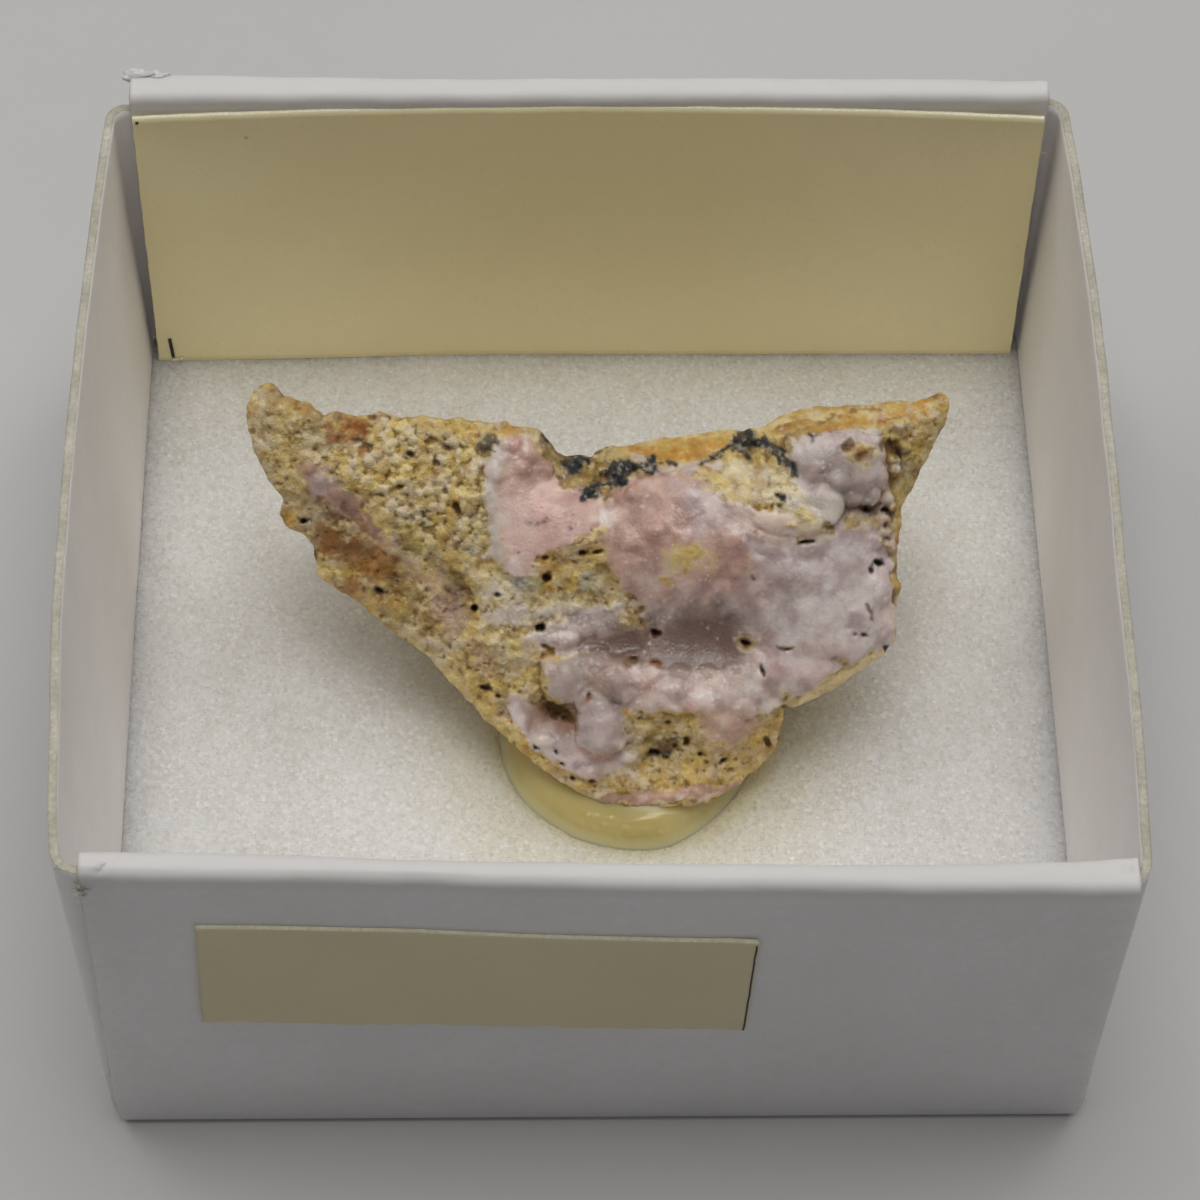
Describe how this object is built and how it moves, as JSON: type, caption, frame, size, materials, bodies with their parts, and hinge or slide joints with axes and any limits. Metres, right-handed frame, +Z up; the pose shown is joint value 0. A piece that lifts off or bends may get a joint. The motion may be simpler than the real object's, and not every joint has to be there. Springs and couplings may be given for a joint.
{
  "type": "smithsonite specimen in a card tray",
  "caption": "Botryoidal smithsonite on ochre matrix, fixed by a glue puck on a foam sheet in a small open folded card tray with a bare label card.",
  "frame": {"origin": "middle of the tray's underside, on the surface that the tray stands on", "axes": "+Z up, -Y towards the front wall with the small glued label, +X to the right seen from the front"},
  "size_m": [0.0414, 0.0398, 0.0193],
  "materials": {
    "card": "matt white coated card, greenish grey at its cut edges",
    "foam": "white fine-celled foam with sparkling cells",
    "label": "cream card, matt",
    "glue": "translucent yellow-green hot glue, glossy",
    "stone": "pink to lavender botryoidal crust on porous ochre matrix"
  },
  "bodies": {
    "root": {"tray": "card", "foam_pad": "foam", "label_card": "label", "number_label": "label", "glue_puck": "glue", "specimen": "stone"}
  },
  "joints": []
}
